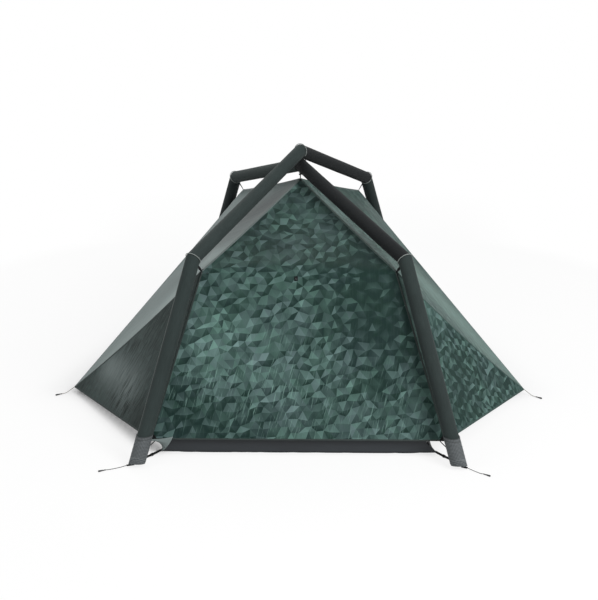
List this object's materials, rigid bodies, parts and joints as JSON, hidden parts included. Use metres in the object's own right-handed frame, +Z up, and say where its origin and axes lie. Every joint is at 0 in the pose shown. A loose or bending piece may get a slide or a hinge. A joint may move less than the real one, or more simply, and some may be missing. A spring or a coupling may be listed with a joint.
{
  "type": "inflatable tent",
  "caption": "Inflatable tent: two crossing air tubes carry a stretched fly sheet over an inner tent with a tub floor, zipped side doors, foot boots and guy lines.",
  "frame": {"origin": "on the ground, under the middle of the tent's box without its guy cords", "axes": "+X across the tent to the right seen from the front, +Y from the front to the rear, +Z up"},
  "size_m": [2.5089, 2.7378, 1.2069],
  "materials": {
    "sleeve_fabric": "matte charcoal woven sleeve",
    "bladder_film": "pale satin film",
    "piping": "light grey cord piping",
    "boot_fabric": "mid grey heavy weave",
    "webbing": "black woven tape",
    "fly_fabric": "coated teal green sheet with a tonal facet print",
    "tub_fabric": "dark coated floor sheet",
    "inner_fabric": "grey breathable sheet",
    "plastic": "black moulded plastic",
    "zip_metal": "dark cast slider",
    "cord": "braided cord"
  },
  "bodies": {
    "tent": {"upper_arch_front_leg_sleeve": "sleeve_fabric", "upper_arch_front_beam_sleeve": "sleeve_fabric", "upper_arch_rear_beam_sleeve": "sleeve_fabric", "upper_arch_rear_leg_sleeve": "sleeve_fabric", "lower_arch_front_leg_sleeve": "sleeve_fabric", "lower_arch_front_beam_sleeve": "sleeve_fabric", "lower_arch_rear_beam_sleeve": "sleeve_fabric", "lower_arch_rear_leg_sleeve": "sleeve_fabric", "upper_arch_bladder": "bladder_film", "lower_arch_bladder": "bladder_film", "upper_arch_front_shoulder_piping": "piping", "upper_arch_crossing_piping": "piping", "upper_arch_rear_shoulder_piping": "piping", "lower_arch_front_shoulder_piping": "piping", "lower_arch_crossing_piping": "piping", "lower_arch_rear_shoulder_piping": "piping", "front_left_boot": "boot_fabric", "front_right_boot": "boot_fabric", "rear_left_boot": "boot_fabric", "rear_right_boot": "boot_fabric", "inflation_valve": "plastic", "fly_front": "fly_fabric", "fly_rear": "fly_fabric", "fly_roof_left": "fly_fabric", "fly_roof_right": "fly_fabric", "fly_front_side_left": "fly_fabric", "fly_front_side_right": "fly_fabric", "front_pull_tab": "webbing", "front_left_shoulder_strap": "webbing", "front_right_shoulder_strap": "webbing", "rear_left_shoulder_strap": "webbing", "rear_right_shoulder_strap": "webbing", "peak_strap": "webbing", "front_left_floor_strap": "webbing", "front_right_floor_strap": "webbing", "rear_left_floor_strap": "webbing", "rear_right_floor_strap": "webbing", "floor_tub": "tub_fabric", "inner_canopy": "inner_fabric", "inner_side_left": "inner_fabric", "inner_side_right": "inner_fabric", "front_left_guy": "cord", "front_right_guy": "cord", "rear_left_guy": "cord", "rear_right_guy": "cord", "left_side_guy": "cord", "right_side_guy": "cord", "front_left_guy_hook": "plastic", "front_right_guy_hook": "plastic", "rear_left_guy_hook": "plastic", "rear_right_guy_hook": "plastic", "left_side_guy_hook": "plastic", "right_side_guy_hook": "plastic"},
    "left_fly_door": {"fly_door_left": "fly_fabric"},
    "right_fly_door": {"fly_door_right": "fly_fabric"},
    "left_inner_door": {"inner_door_left": "inner_fabric"},
    "right_inner_door": {"inner_door_right": "inner_fabric"},
    "left_slider": {"zip_slider_left": "zip_metal"},
    "right_slider": {"zip_slider_right": "zip_metal"},
    "cap": {"valve_cap": "plastic"}
  },
  "joints": [
    {"name": "left_fly_door_lift", "type": "hinge", "parent": "tent", "child": "left_fly_door", "pos_m": [-1.16953, -0.41944, 0.02676], "axis": [0.4923, 0.7459, 0.4487], "range_deg": [0, 140]},
    {"name": "right_fly_door_lift", "type": "hinge", "parent": "tent", "child": "right_fly_door", "pos_m": [1.16953, -0.41944, 0.02676], "axis": [0.4923, -0.7459, -0.4487], "range_deg": [0, 140]},
    {"name": "left_inner_door_fold", "type": "hinge", "parent": "tent", "child": "left_inner_door", "pos_m": [-0.56943, -0.56497, 0.15494], "axis": [0.0499, 0.9988, -0.0005], "range_deg": [0, 75]},
    {"name": "right_inner_door_fold", "type": "hinge", "parent": "tent", "child": "right_inner_door", "pos_m": [0.56943, -0.56497, 0.15494], "axis": [0.0499, -0.9988, 0.0005], "range_deg": [0, 75]},
    {"name": "left_zip", "type": "slide", "parent": "tent", "child": "left_slider", "axis": [0.3096, -0.35, 0.8841], "range_m": [0, 0.67]},
    {"name": "right_zip", "type": "slide", "parent": "tent", "child": "right_slider", "axis": [-0.3096, -0.35, 0.8841], "range_m": [0, 0.67]},
    {"name": "cap_flip", "type": "hinge", "parent": "tent", "child": "cap", "pos_m": [0.42657, 1.01538, 0.55726], "axis": [0.3989, 0.7571, 0.5174], "range_deg": [0, 150]}
  ]
}
